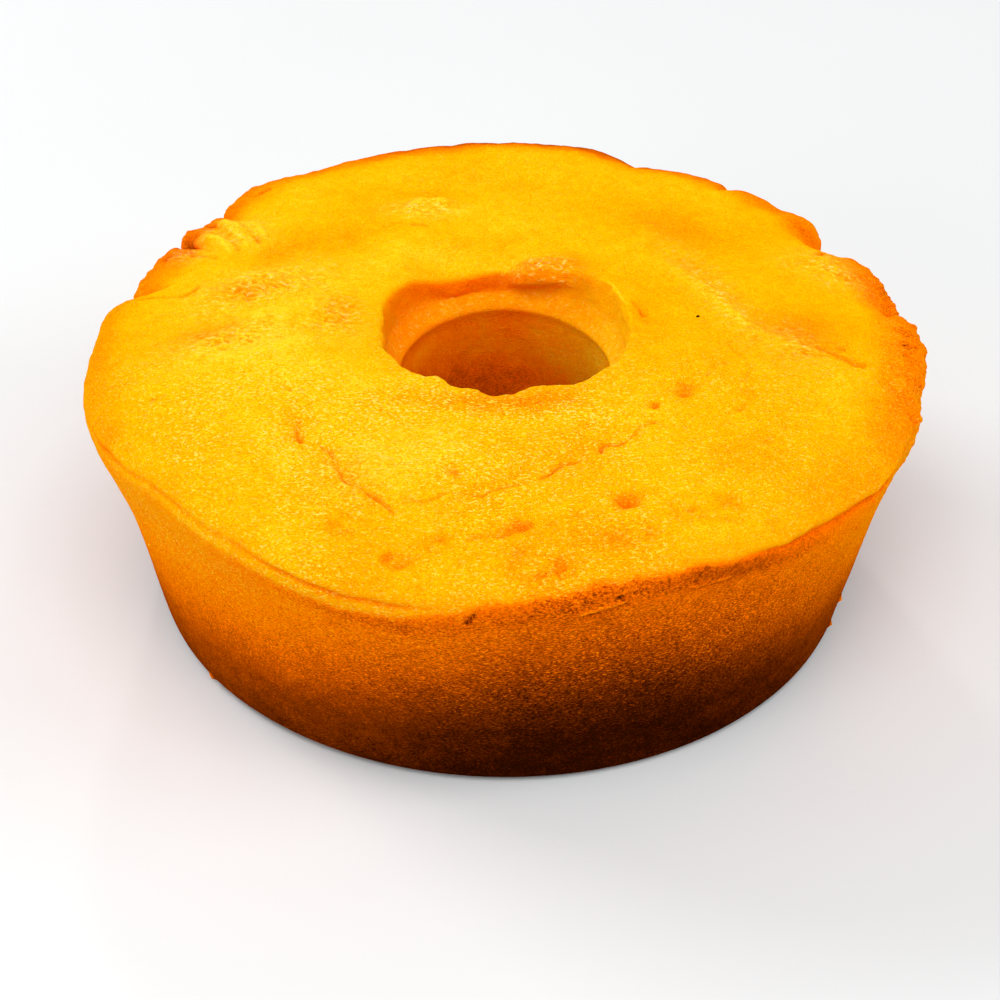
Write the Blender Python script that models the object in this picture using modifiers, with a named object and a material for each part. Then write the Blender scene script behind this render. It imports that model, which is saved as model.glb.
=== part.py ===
"""A ring-shaped corn cake, baked in a plain tube pan and standing on its pan-baked base.

The cake is one solid. Its section is turned round the Z axis, and the ring is then shaped: the
crust's edge swells and splits into lobes, the mouth of the hole is torn and rolls down to the
tube's print, and the risen top carries folds, ridges and small hollows. Metres, +Z up, origin in
the middle of the base.
"""

import math

import bmesh
import bpy
import numpy as np
from mathutils import Vector, noise

MM = 0.001

# Driving dimensions.
CAKE_HEIGHT = 80.0 * MM
RIM_RADIUS = 110.4 * MM
RIM_HEIGHT = 66.4 * MM
WALL_TOP_RADIUS = 108.0 * MM
WALL_TOP_HEIGHT = 56.0 * MM
BASE_RADIUS = 96.1 * MM
BASE_CORNER = 4.0 * MM
TUBE_BASE_RADIUS = 32.5 * MM
TUBE_CORNER = 1.5 * MM
THROAT_RADIUS = 28.5 * MM
THROAT_HEIGHT = 63.0 * MM
MOUTH_RADIUS = 34.8 * MM

# How finely the section is divided, how many steps it takes round the axis, and what is kept.
CRUST_ROWS = 88
WALL_ROWS = 14
BASE_ROWS = 3
TUBE_ROWS = 10
CORNER_ROWS = 4
RING_STEPS = 300
KEPT_TRIANGLES = 10400

# Swellings of the crust's edge: (angle and half-width in degrees, radial change, change of height), mm.
RIM_SWELLINGS = (
    (197.0, 14.5, 2.8, 0.4),
    (176.0, 4.5, 0.5, 1.4),
    (162.0, 8.0, -2.6, 1.2),
    (148.0, 2.4, 0.4, 1.0),
    (132.0, 8.0, 1.6, 2.8),
    (112.0, 13.0, 0.4, 3.0),
    (90.0, 13.0, 1.0, 3.7),
    (77.0, 6.0, 1.6, 1.4),
    (60.0, 6.0, 0.6, 0.8),
    (47.0, 10.0, 0.2, 1.8),
    (36.5, 3.4, 2.2, 1.0),
    (20.0, 6.0, 0.9, 1.5),
    (0.0, 8.0, 2.8, 0.8),
    (343.5, 4.0, 1.4, -0.4),
    (326.0, 9.0, 0.6, -1.6),
    (293.0, 12.0, -0.8, 2.8),
    (258.0, 14.0, 1.2, -2.0),
    (220.0, 8.0, -0.4, 3.0),
)
# Splits that open outwards between the swellings: (angle at the edge, angle inside, inner radius,
# half-width, how far the edge draws in, depth), mm.
RIM_SPLITS = (
    (169.4, 166.0, 84.0, 3.2, 11.0, 2.4),
    (151.0, 157.5, 84.0, 1.3, 9.0, 2.2),
    (145.6, 150.5, 84.0, 1.1, 6.8, 1.6),
    (140.8, 144.0, 90.0, 2.0, 3.4, 1.4),
    (66.6, 66.0, 92.0, 2.2, 2.4, 1.2),
    (51.2, 50.5, 88.0, 1.5, 4.0, 1.2),
    (29.6, 31.0, 90.0, 5.0, 6.4, 0.8),
    (26.4, 29.5, 90.0, 2.8, 9.6, 2.4),
    (7.4, 5.0, 98.0, 1.8, 3.6, 1.6),
    (342.0, 348.0, 98.0, 1.6, 1.0, 0.9),
)
# The mouth of the hole: (angle and half-width in degrees, radial change, change of height), mm.
MOUTH_SWELLINGS = (
    (118.0, 18.0, -1.6, -3.6),
    (84.0, 26.0, -1.4, -4.2),
    (182.0, 26.0, -1.4, -0.6),
    (8.0, 24.0, -1.4, -1.8),
    (264.0, 9.0, 1.6, 0.0),
    (285.0, 7.0, -2.4, 0.2),
    (240.0, 5.0, -1.4, 0.2),
)
# A flap of crust that leans over the hole.
FLAP_ANGLE = 73.0
FLAP_SPREAD = 13.0
FLAP_REACH = 4.6 * MM
FLAP_RISE = 2.8 * MM
FLAP_LENGTH = 4.2 * MM
FLAP_FOOT_HEIGHT = 73.0 * MM
# How much higher the throat's edge is at the back.
THROAT_RISE = 2.0 * MM

# Folds on the top: (points in mm, half-width and depth of the split, half-width and depth of the valley).
FOLDS = (
    (((-58, -34), (-53, -48), (-46, -61), (-36, -76), (-25, -89)), 1.1, 1.3, 6.0, 1.3),
    (((-25, -83), (-16, -79), (-4, -78), (5, -70), (14, -67), (24, -59), (38, -51)), 1.0, 1.0, 5.5, 1.2),
    (((77, -11), (83, -14), (90, -18), (97, -21)), 1.0, 1.2, 4.5, 0.8),
    (((34, 8), (36, 5), (38, 0)), 0.9, 1.4, 2.5, 0.4),
    (((60, -30), (63, -38), (57, -46)), 0.8, 0.5, 3.0, 0.3),
)
# Soft ridges on the top: (points in mm, half-width, height).
RIDGES = (
    (((26, 42), (42, 28), (54, 11), (62, -3), (72, -12), (77, -22)), 3.6, 1.5),
    (((-92, 5), (-82, 8), (-70, 17), (-56, 25)), 3.6, 1.3),
    (((-88, -17), (-78, -14), (-67, -4), (-54, 3)), 3.6, 1.4),
    (((-78, -26), (-66, -21), (-54, -14), (-44, -4)), 3.6, 1.0),
    (((-88, 60), (-80, 53), (-74, 48), (-68, 42)), 2.2, 1.9),
    (((-88, 50), (-83, 43), (-76, 34)), 2.0, 1.6),
    (((-30, 62), (-22, 63), (-15, 60)), 3.0, 1.4),
)
# Hollows in the top: (x, y, half-length, half-width in mm, turned by degrees, depth in mm).
HOLLOWS = (
    (-51.0, -55.0, 3.4, 2.0, 70.0, 1.3),
    (46.0, -33.5, 5.2, 2.6, 65.0, 1.7),
    (37.5, -43.0, 2.4, 2.0, 60.0, 1.0),
    (29.3, -83.0, 3.2, 2.6, 60.0, 1.5),
    (-12.0, -70.5, 3.6, 2.6, 0.0, 0.9),
    (1.7, -93.0, 3.6, 2.2, 20.0, 0.9),
    (-26.0, -101.0, 3.6, 1.9, 10.0, 1.3),
    (65.0, -55.0, 2.0, 1.7, 0.0, 0.9),
    (-24.0, 69.0, 5.5, 3.5, 0.0, 1.0),
    (-44.0, 41.0, 9.0, 7.0, 30.0, 1.2),
    (-63.0, 32.0, 12.0, 5.0, 55.0, 1.2),
    (-76.0, -10.0, 9.0, 5.0, 20.0, 1.0),
    (-50.0, -8.0, 8.0, 6.0, 80.0, 1.0),
    (52.0, 46.0, 14.0, 8.0, 130.0, 1.1),
    (74.0, -4.0, 9.0, 7.0, 0.0, 1.1),
    (-90.0, 30.0, 5.0, 3.0, 60.0, 1.2),
)

# Swellings of the wall: (angle and half-width in degrees, height and half-height, radial change), mm.
WALL_SWELLINGS = (
    (205.0, 34.0, 10.0, 14.0, 1.3),
    (346.0, 22.0, 40.0, 18.0, -0.7),
)

# Uneven rising: waves of the top, of the wall, of the crags on the edge and of the torn mouth.
BROAD_WAVE = 34.0 * MM
BROAD_RISE = 0.9 * MM
CLOSE_WAVE = 9.0 * MM
CLOSE_RISE = 0.3 * MM
WALL_WAVE = 30.0 * MM
WALL_SWELL = 0.5 * MM
CRAG_WAVE = 5.0 * MM
CRAG_RISE = 0.7 * MM
TEAR_WAVE = 6.0 * MM
TEAR_DEPTH = 0.6 * MM


def clear_scene():
    for thing in list(bpy.data.objects):
        bpy.data.objects.remove(thing)


def smooth_step(low, high, value):
    """0 below low, 1 above high, and an even rise between them."""
    share = np.clip((value - low) / (high - low), 0.0, 1.0)
    return share * share * (3.0 - 2.0 * share)


def bell(distance, half_width):
    return np.exp(-((distance / half_width) ** 2))


def turned_by(angle, degrees):
    """Degrees from each angle to the one given, the short way round."""
    return (np.degrees(angle) - degrees + 180.0) % 360.0 - 180.0


def wave(points, length, octaves=2):
    """Even noise of about -1 to 1 with waves of that length, at each point."""
    return np.array([noise.fractal(Vector(p) / length, 1.0, 2.0, octaves) for p in points])


def spline(points, count):
    """count + 1 points on a smooth curve through the given ones, evenly spaced along it."""
    knots = np.array(points, float)
    ends = np.vstack([2 * knots[0] - knots[1], knots, 2 * knots[-1] - knots[-2]])
    fine = []
    for before, start, end, after in zip(ends, ends[1:], ends[2:], ends[3:]):
        for t in np.linspace(0.0, 1.0, 24, endpoint=False):
            fine.append(
                0.5 * (2 * start + (end - before) * t
                       + (2 * before - 5 * start + 4 * end - after) * t * t
                       + (3 * start - before - 3 * end + after) * t ** 3)
            )
    fine = np.array(fine + [knots[-1]])
    along = np.concatenate([[0.0], np.cumsum(np.linalg.norm(np.diff(fine, axis=0), axis=1))])
    wanted = np.linspace(0.0, along[-1], count + 1)
    return np.column_stack([np.interp(wanted, along, fine[:, i]) for i in range(fine.shape[1])])


def arc(centre, radius, start, end, count):
    """count + 1 points on an arc, between two angles in degrees."""
    angles = np.radians(np.linspace(start, end, count + 1))
    return np.column_stack([centre[0] + radius * np.cos(angles), centre[1] + radius * np.sin(angles)])


def crust_line():
    """The free crust's line from the throat, over the top and down to the wall."""
    return [
        (THROAT_RADIUS + 0.7 * MM, THROAT_HEIGHT - 2.2 * MM),
        (THROAT_RADIUS, THROAT_HEIGHT - 0.4 * MM),
        (THROAT_RADIUS + 0.5 * MM, THROAT_HEIGHT + 0.5 * MM),
        (MOUTH_RADIUS - 4.2 * MM, THROAT_HEIGHT + 2.4 * MM),
        (MOUTH_RADIUS - 2.2 * MM, THROAT_HEIGHT + 5.8 * MM),
        (MOUTH_RADIUS - 0.9 * MM, CAKE_HEIGHT - 7.2 * MM),
        (MOUTH_RADIUS + 0.2 * MM, CAKE_HEIGHT - 3.8 * MM),
        (MOUTH_RADIUS + 2.2 * MM, CAKE_HEIGHT - 1.9 * MM),
        (MOUTH_RADIUS + 7.4 * MM, CAKE_HEIGHT - 0.8 * MM),
        (53.0 * MM, CAKE_HEIGHT - 0.1 * MM),
        (66.0 * MM, CAKE_HEIGHT),
        (80.0 * MM, CAKE_HEIGHT - 0.6 * MM),
        (93.0 * MM, CAKE_HEIGHT - 2.4 * MM),
        (RIM_RADIUS - 8.2 * MM, RIM_HEIGHT + 8.5 * MM),
        (RIM_RADIUS - 3.2 * MM, RIM_HEIGHT + 6.5 * MM),
        (RIM_RADIUS - 0.6 * MM, RIM_HEIGHT + 3.7 * MM),
        (RIM_RADIUS, RIM_HEIGHT + 0.4 * MM),
        (RIM_RADIUS - 0.6 * MM, RIM_HEIGHT - 3.8 * MM),
        (WALL_TOP_RADIUS, WALL_TOP_HEIGHT),
    ]


def cake_section():
    """The closed section as (radius, height), up the tube's print, over the crust and round the base."""
    tube_foot = arc(
        (TUBE_BASE_RADIUS + TUBE_CORNER, TUBE_CORNER), TUBE_CORNER, 270.0, 180.0, CORNER_ROWS
    )
    tube = spline([tube_foot[-1], crust_line()[0]], TUBE_ROWS)
    crust = spline(crust_line(), CRUST_ROWS)
    corner = arc((BASE_RADIUS - BASE_CORNER, BASE_CORNER), BASE_CORNER, -12.0, -90.0, CORNER_ROWS)
    wall = spline([crust[-1], corner[0]], WALL_ROWS)
    base = spline([corner[-1], tube_foot[0]], BASE_ROWS)
    return np.vstack([tube_foot[:-1], tube[:-1], crust[:-1], wall[:-1], corner[:-1], base[:-1]])


def turned_ring(name, section, steps):
    """A mesh of the section turned round the Z axis."""
    guide_mesh = bpy.data.meshes.new(name + "_section")
    count = len(section)
    guide_mesh.from_pydata(
        [(radius, 0.0, height) for radius, height in section],
        [(i, (i + 1) % count) for i in range(count)],
        [],
    )
    guide = bpy.data.objects.new(name + "_section", guide_mesh)
    bpy.context.scene.collection.objects.link(guide)
    turn = guide.modifiers.new("Turn", "SCREW")
    turn.axis = "Z"
    turn.angle = math.tau
    turn.steps = turn.render_steps = steps
    turn.use_merge_vertices = False
    graph = bpy.context.evaluated_depsgraph_get()
    mesh = bpy.data.meshes.new_from_object(guide.evaluated_get(graph))
    bpy.data.objects.remove(guide)
    mesh.name = name
    return mesh


def swelled(angle, swellings, column):
    """The sum of the swellings' changes at each angle, in metres."""
    return sum(part[column] * MM * bell(turned_by(angle, part[0]), part[1]) for part in swellings)


def cusp(distance, half_width):
    """1 on the line itself, falling away sharply on both sides."""
    return np.exp(-np.abs(distance) / half_width)


def polar(points):
    x, y, z = points.T
    return np.arctan2(y, x), np.hypot(x, y), z


def from_polar(angle, radius, z):
    return np.column_stack([radius * np.cos(angle), radius * np.sin(angle), z])


def split_rim(angle, radius, z):
    """Draws the edge in and down where the crust has split between two swellings."""
    high = smooth_step(38.0 * MM, 64.0 * MM, z)
    inwards = np.zeros(len(z))
    downwards = np.zeros(len(z))
    for edge_angle, inner_angle, inner_radius, half_width, draw, depth in RIM_SPLITS:
        share = np.clip((radius / MM - inner_radius) / (RIM_RADIUS / MM - inner_radius), 0.0, 1.2)
        centre = inner_angle + (edge_angle - inner_angle) * share
        aside = cusp(np.radians(turned_by(angle, centre)) * radius, half_width * MM)
        inwards += draw * MM * aside * smooth_step(0.3, 1.0, share) * high ** 2
        downwards += depth * MM * aside * smooth_step(0.0, 0.7, share) * high
    return radius - inwards, z - downwards


def shape_rim(points):
    """Swells, roughens and splits the crust's edge."""
    angle, radius, z = polar(points)
    high = smooth_step(42.0 * MM, 62.0 * MM, z)
    near_edge = smooth_step(74.0 * MM, 106.0 * MM, radius)
    craggy = high * smooth_step(98.0 * MM, 108.0 * MM, radius) * (
        0.25 + bell(turned_by(angle, 5.0), 26.0) + 0.8 * bell(turned_by(angle, 152.0), 20.0)
    )
    crag = wave(points, CRAG_WAVE) * CRAG_RISE * craggy
    radius = radius + swelled(angle, RIM_SWELLINGS, 2) * high * near_edge + crag
    z = z + swelled(angle, RIM_SWELLINGS, 3) * high * near_edge + 0.6 * crag
    radius, z = split_rim(angle, radius, z)
    return from_polar(angle, radius, z)


def shape_mouth(points):
    """Tears the mouth of the hole, lets its back edge sag, and leans a flap of crust over it."""
    angle, radius, z = polar(points)
    near = 1.0 - smooth_step(MOUTH_RADIUS, MOUTH_RADIUS + 16.0 * MM, radius)
    lip = near * smooth_step(THROAT_HEIGHT + 3.0 * MM, CAKE_HEIGHT - 5.0 * MM, z)
    tear = wave(points, TEAR_WAVE) * TEAR_DEPTH * (1.0 - smooth_step(38.0 * MM, 42.0 * MM, radius))
    flap = bell(turned_by(angle, FLAP_ANGLE) ** 2, FLAP_SPREAD ** 2)
    flap = flap * smooth_step(FLAP_FOOT_HEIGHT, FLAP_FOOT_HEIGHT + 2.0 * MM, z)
    pillow = flap * bell(radius - MOUTH_RADIUS - 1.0 * MM, FLAP_LENGTH)
    reach = flap * (1.0 - smooth_step(MOUTH_RADIUS, MOUTH_RADIUS + 10.0 * MM, radius))
    throat = 1.0 - smooth_step(THROAT_RADIUS + 1.0 * MM, THROAT_RADIUS + 6.0 * MM, radius)
    throat = throat * smooth_step(THROAT_HEIGHT - 12.0 * MM, THROAT_HEIGHT - 1.0 * MM, z)
    at_back = np.clip(np.sin(angle), 0.0, 1.0) ** 2
    radius = radius + (swelled(angle, MOUTH_SWELLINGS, 2) + tear) * lip - FLAP_REACH * reach
    z = z + swelled(angle, MOUTH_SWELLINGS, 3) * lip + FLAP_RISE * pillow
    z = z + THROAT_RISE * throat * at_back
    return from_polar(angle, radius, z)


def path_distance(x, y, path):
    """(distance to a path given in mm, share of the way along it) for each point."""
    smooth = spline(path, 24) * MM
    best = np.full(len(x), np.inf)
    share = np.zeros(len(x))
    for i, (start, end) in enumerate(zip(smooth, smooth[1:])):
        run = end - start
        t = np.clip(((x - start[0]) * run[0] + (y - start[1]) * run[1]) / (run @ run), 0.0, 1.0)
        away = np.hypot(x - start[0] - t * run[0], y - start[1] - t * run[1])
        closer = away < best
        best = np.where(closer, away, best)
        share = np.where(closer, (i + t) / (len(smooth) - 1), share)
    return best, share


def ends_fade(share):
    return smooth_step(0.0, 0.35, share) * smooth_step(0.0, 0.35, 1.0 - share)


def top_relief(points):
    """How far the crust rises or sinks at each point of the top."""
    x, y = points[:, 0], points[:, 1]
    flat = np.column_stack([x, y, np.zeros(len(x))])
    x = x + 1.3 * MM * wave(flat + 0.3, CLOSE_WAVE)
    y = y + 1.3 * MM * wave(flat + 0.7, CLOSE_WAVE)
    rise = BROAD_RISE * wave(flat, BROAD_WAVE) + CLOSE_RISE * wave(flat, CLOSE_WAVE)
    for path, split_width, split_depth, valley_width, valley_depth in FOLDS:
        away, share = path_distance(x, y, path)
        groove = split_depth * bell(away, split_width * MM) + valley_depth * bell(away, valley_width * MM)
        rise = rise - MM * groove * ends_fade(share)
    for path, half_width, height in RIDGES:
        away, share = path_distance(x, y, path)
        rise = rise + height * MM * bell(away, half_width * MM) * ends_fade(share)
    for centre_x, centre_y, half_length, half_width, turn, depth in HOLLOWS:
        across, up = x - centre_x * MM, y - centre_y * MM
        cosine, sine = math.cos(math.radians(turn)), math.sin(math.radians(turn))
        along = (across * cosine + up * sine) / (half_length * MM)
        aside = (up * cosine - across * sine) / (half_width * MM)
        rise = rise - depth * MM * bell(np.hypot(along, aside), 1.0)
    return rise


def shape_top(points):
    x, y, z = points.T
    radius = np.hypot(x, y)
    crust = smooth_step(68.0 * MM, 73.0 * MM, z) * smooth_step(32.0 * MM, 37.0 * MM, radius)
    return np.column_stack([x, y, z + top_relief(points) * crust])


def shape_wall(points):
    """Gives the wall and the tube's print the slight swell of a baked side."""
    angle, radius, z = polar(points)
    side = smooth_step(1.0 * MM, 12.0 * MM, z) * (1.0 - smooth_step(60.0 * MM, 72.0 * MM, z))
    radius = radius + WALL_SWELL * wave(points, WALL_WAVE) * side
    outer = smooth_step(70.0 * MM, BASE_RADIUS - BASE_CORNER, radius)
    for centre, half_width, height, half_height, change in WALL_SWELLINGS:
        share = bell(turned_by(angle, centre), half_width) * bell(z - height * MM, half_height * MM)
        radius = radius + change * MM * share * outer
    return from_polar(angle, radius, z)


def shaped(points):
    for shape in (shape_wall, shape_rim, shape_mouth, shape_top):
        points = shape(points)
    return points


def crust_material():
    material = bpy.data.materials.new("corn_crust")
    material.use_nodes = True
    shader = material.node_tree.nodes["Principled BSDF"]
    shader.inputs["Base Color"].default_value = (1.0, 0.45, 0.01, 1.0)
    shader.inputs["Roughness"].default_value = 0.5
    shader.inputs["Metallic"].default_value = 0.0
    return material


def outward(mesh):
    """Turns the faces to point out of the solid."""
    shape = bmesh.new()
    shape.from_mesh(mesh)
    bmesh.ops.recalc_face_normals(shape, faces=shape.faces)
    shape.to_mesh(mesh)
    shape.free()


def corn_cake(collection):
    mesh = turned_ring("corn_cake", cake_section(), RING_STEPS)
    points = np.empty(len(mesh.vertices) * 3, np.float32)
    mesh.vertices.foreach_get("co", points)
    points = shaped(points.reshape(-1, 3).astype(float))
    mesh.vertices.foreach_set("co", points.astype(np.float32).ravel())
    outward(mesh)
    mesh.shade_smooth()
    mesh.materials.append(crust_material())
    cake = bpy.data.objects.new("corn_cake", mesh)
    collection.objects.link(cake)
    thin = cake.modifiers.new("Thin", "DECIMATE")
    thin.ratio = KEPT_TRIANGLES / (2 * len(mesh.polygons))
    thin.use_collapse_triangulate = True
    return cake


def main():
    clear_scene()
    collection = bpy.data.collections.new("Corn_cake")
    bpy.context.scene.collection.children.link(collection)
    corn_cake(collection)


main()
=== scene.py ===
"""The corn cake's looks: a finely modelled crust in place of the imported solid, its baked colours,
a pale floor, soft light and the camera. Metres, +Z up, origin in the middle of the base."""

import math

import bmesh
import bpy
import numpy as np
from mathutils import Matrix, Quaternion, Vector, noise


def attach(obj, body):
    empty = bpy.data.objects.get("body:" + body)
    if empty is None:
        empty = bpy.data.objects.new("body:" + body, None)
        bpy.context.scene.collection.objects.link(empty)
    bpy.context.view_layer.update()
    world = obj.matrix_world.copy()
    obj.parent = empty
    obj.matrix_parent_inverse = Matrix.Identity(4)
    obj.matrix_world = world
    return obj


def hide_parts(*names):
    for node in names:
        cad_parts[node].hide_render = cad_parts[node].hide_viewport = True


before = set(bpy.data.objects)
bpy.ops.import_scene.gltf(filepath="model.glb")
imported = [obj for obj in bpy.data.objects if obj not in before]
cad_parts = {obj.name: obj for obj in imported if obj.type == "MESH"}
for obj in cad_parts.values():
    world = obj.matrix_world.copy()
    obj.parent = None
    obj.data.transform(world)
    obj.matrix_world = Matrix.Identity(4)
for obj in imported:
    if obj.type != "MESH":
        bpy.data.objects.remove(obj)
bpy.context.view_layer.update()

MM = 0.001

# Driving dimensions, the same as the solid's.
CAKE_HEIGHT = 80.0 * MM
RIM_RADIUS = 110.4 * MM
RIM_HEIGHT = 66.4 * MM
WALL_TOP_RADIUS = 108.0 * MM
WALL_TOP_HEIGHT = 56.0 * MM
BASE_RADIUS = 96.1 * MM
BASE_CORNER = 4.0 * MM
TUBE_BASE_RADIUS = 32.5 * MM
TUBE_CORNER = 1.5 * MM
THROAT_RADIUS = 28.5 * MM
THROAT_HEIGHT = 63.0 * MM
MOUTH_RADIUS = 34.8 * MM

# How finely the section is divided, how many steps it takes round the axis, and what is kept.
CRUST_ROWS = 226
WALL_ROWS = 62
BASE_ROWS = 4
TUBE_ROWS = 30
CORNER_ROWS = 5
RING_STEPS = 840
KEPT_TRIANGLES = 198000

# Swellings of the crust's edge: (angle and half-width in degrees, radial change, change of height), mm.
RIM_SWELLINGS = (
    (197.0, 14.5, 2.8, 0.4),
    (174.5, 3.5, 0.3, 1.2),
    (162.0, 8.0, -2.6, 1.2),
    (148.0, 2.4, 0.4, 1.0),
    (132.0, 8.0, 1.6, 2.8),
    (112.0, 13.0, 0.4, 3.0),
    (90.0, 13.0, 1.0, 3.7),
    (77.0, 6.0, 1.6, 1.4),
    (60.0, 6.0, 0.6, 0.8),
    (47.0, 10.0, 0.2, 1.8),
    (36.5, 3.4, 2.2, 1.0),
    (20.0, 6.0, 0.9, 1.5),
    (0.0, 8.0, 2.8, 0.8),
    (343.5, 4.0, 1.4, -0.4),
    (326.0, 9.0, 0.6, -1.6),
    (293.0, 12.0, -0.8, 2.8),
    (258.0, 14.0, 1.2, -2.0),
    (220.0, 8.0, -0.4, 3.0),
)
# Splits that open outwards between the swellings: (angle at the edge, angle inside, inner radius,
# half-width, how far the edge draws in, depth), mm.
RIM_SPLITS = (
    (169.2, 166.0, 84.0, 2.7, 10.0, 2.2),
    (151.0, 157.5, 84.0, 1.3, 9.0, 2.2),
    (145.6, 150.5, 84.0, 1.1, 6.8, 1.6),
    (140.8, 144.0, 90.0, 2.0, 3.4, 1.4),
    (68.4, 68.0, 92.0, 2.2, 1.4, 0.8),
    (51.2, 50.5, 88.0, 1.5, 4.0, 1.2),
    (29.6, 31.0, 90.0, 5.0, 6.4, 0.8),
    (26.4, 29.5, 90.0, 2.8, 9.6, 2.4),
    (7.4, 5.0, 98.0, 1.8, 3.6, 1.6),
    (342.0, 348.0, 98.0, 1.6, 1.0, 0.9),
)
# The mouth of the hole: (angle and half-width in degrees, radial change, change of height), mm.
MOUTH_SWELLINGS = (
    (118.0, 18.0, -1.6, -3.6),
    (84.0, 26.0, -1.4, -4.2),
    (182.0, 26.0, -1.4, -0.6),
    (8.0, 24.0, -1.4, -1.8),
    (264.0, 9.0, 1.6, 0.0),
    (285.0, 7.0, -2.4, 0.2),
    (240.0, 5.0, -1.4, 0.2),
)
# A flap of crust that leans over the hole.
FLAP_ANGLE = 73.0
FLAP_SPREAD = 13.0
FLAP_REACH = 4.6 * MM
FLAP_RISE = 3.2 * MM
FLAP_LENGTH = 4.2 * MM
FLAP_FOOT_HEIGHT = 73.0 * MM
# How much higher the throat's edge is at the back.
THROAT_RISE = 2.0 * MM

# Folds on the top: (points in mm, half-width and depth of the split, half-width and depth of the valley).
FOLDS = (
    (((-58, -34), (-53, -48), (-46, -61), (-36, -76), (-25, -89)), 1.1, 0.4, 6.0, 1.4),
    (((-25, -83), (-16, -79), (-4, -78), (5, -70), (14, -67), (24, -59), (38, -51)), 1.0, 0.3, 5.5, 1.3),
    (((77, -11), (83, -14), (90, -18), (97, -21)), 1.0, 1.2, 4.5, 0.8),
    (((34, 8), (36, 5), (38, 0)), 0.9, 0.3, 2.5, 0.5),
    (((60, -30), (63, -38), (57, -46)), 0.8, 0.5, 3.0, 0.3),
)
# Soft ridges on the top: (points in mm, half-width, height).
RIDGES = (
    (((26, 42), (42, 28), (54, 11), (62, -3), (72, -12), (77, -22)), 3.6, 1.5),
    (((-92, 5), (-82, 8), (-70, 17), (-56, 25)), 3.6, 1.3),
    (((-88, -17), (-78, -14), (-67, -4), (-54, 3)), 3.6, 1.4),
    (((-78, -26), (-66, -21), (-54, -14), (-44, -4)), 3.6, 1.0),
    (((-88, 60), (-80, 53), (-74, 48), (-68, 42)), 2.2, 1.9),
    (((-88, 50), (-83, 43), (-76, 34)), 2.0, 1.6),
    (((-30, 62), (-22, 63), (-15, 60)), 3.0, 1.4),
)
# Hollows in the top: (x, y, half-length, half-width in mm, turned by degrees, depth in mm).
HOLLOWS = (
    (-51, -55, 3.4, 2, 70, 1.3),
    (46, -33.5, 5.2, 2.6, 65, 1.7),
    (37.5, -43, 2.4, 2, 60, 1.0),
    (29.3, -83, 3.2, 2.6, 60, 1.5),
    (-12, -70.5, 3.6, 2.6, 0, 0.9),
    (1.7, -93, 3.6, 2.2, 20, 0.9),
    (-25.5, -99.5, 3.6, 1.7, 165, 1.0),
    (65, -55, 2, 1.7, 0, 0.9),
    (-24, 69, 5.5, 3.5, 0, 1.0),
    (-44, 41, 9, 7, 30, 1.2),
    (-63, 32, 12, 5, 55, 1.2),
    (-76, -10, 9, 5, 20, 1.0),
    (-50, -8, 8, 6, 80, 1.0),
    (52, 46, 14, 8, 130, 1.1),
    (74, -4, 9, 7, 0, 1.1),
    (-90, 30, 5, 3, 60, 1.2),
)

# Swellings of the wall: (angle and half-width in degrees, height and half-height, radial change), mm.
WALL_SWELLINGS = (
    (205.0, 34.0, 10.0, 14.0, 1.3),
    (346.0, 22.0, 40.0, 18.0, -0.7),
)

# How far from a path its relief still reaches.
PATH_REACH = 20.0 * MM

# Where each change of shape begins and is full: heights or radii on the unshaped cake.
SPLIT_HEIGHTS = (48.0 * MM, 65.0 * MM)
RIM_HEIGHTS = (42.0 * MM, 62.0 * MM)
RIM_RADII = (74.0 * MM, 106.0 * MM)
CRAG_RADII = (98.0 * MM, 108.0 * MM)
TEAR_RADII = (38.0 * MM, 42.0 * MM)
TOP_HEIGHTS = (68.0 * MM, 73.0 * MM)
TOP_RADII = (32.0 * MM, 37.0 * MM)
WALL_FOOT_HEIGHTS = (1.0 * MM, 12.0 * MM)
WALL_HEAD_HEIGHTS = (60.0 * MM, 72.0 * MM)
# The craggy lobes of the rim: middle and half-width in degrees.
RIGHT_CRAGS = (5.0, 26.0)
LEFT_CRAGS = (152.0, 20.0)

# How far noise carries the folds of the top and its fine creases from their paths.
FOLD_WOBBLE = 1.3 * MM
CREASE_WOBBLE = 0.7 * MM
# What share of its length a fold or a crease takes to fade at each end.
FOLD_FADE = 0.35
CREASE_FADE = 0.12

# Uneven rising: waves of the top, of the wall, of the crags on the edge and of the torn mouth.
BROAD_WAVE = 34.0 * MM
BROAD_RISE = 0.9 * MM
CLOSE_WAVE = 9.0 * MM
CLOSE_RISE = 0.3 * MM
WALL_WAVE = 30.0 * MM
WALL_SWELL = 0.5 * MM
CRAG_WAVE = 5.0 * MM
CRAG_RISE = 0.7 * MM
TEAR_WAVE = 6.0 * MM
TEAR_DEPTH = 0.6 * MM

# The camera, on the photograph's line of sight: angles in degrees, places in metres, lens in mm.
VIEW_ELEVATION = 37.26
VIEW_DISTANCE = 0.64
VIEW_TARGET = (-0.0012, 0.0, 0.0191)
VIEW_ROLL = 0.4
FOCAL_LENGTH = 79.92
SENSOR_WIDTH = 36.0


def smooth_step(low, high, value):
    """0 below low, 1 above high, and an even rise between them."""
    share = np.clip((value - low) / (high - low), 0.0, 1.0)
    return share * share * (3.0 - 2.0 * share)


def bell(distance, half_width):
    """1 at no distance, falling away smoothly on both sides."""
    return np.exp(-((distance / half_width) ** 2))


def turned_by(angle, degrees):
    """Degrees from each angle to the one given, the short way round."""
    return (np.degrees(angle) - degrees + 180.0) % 360.0 - 180.0


def around(angle, degrees, half_width):
    """1 at that angle and 0 well away from it; the half-width is in degrees too."""
    return bell(turned_by(angle, degrees), half_width)


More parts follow.
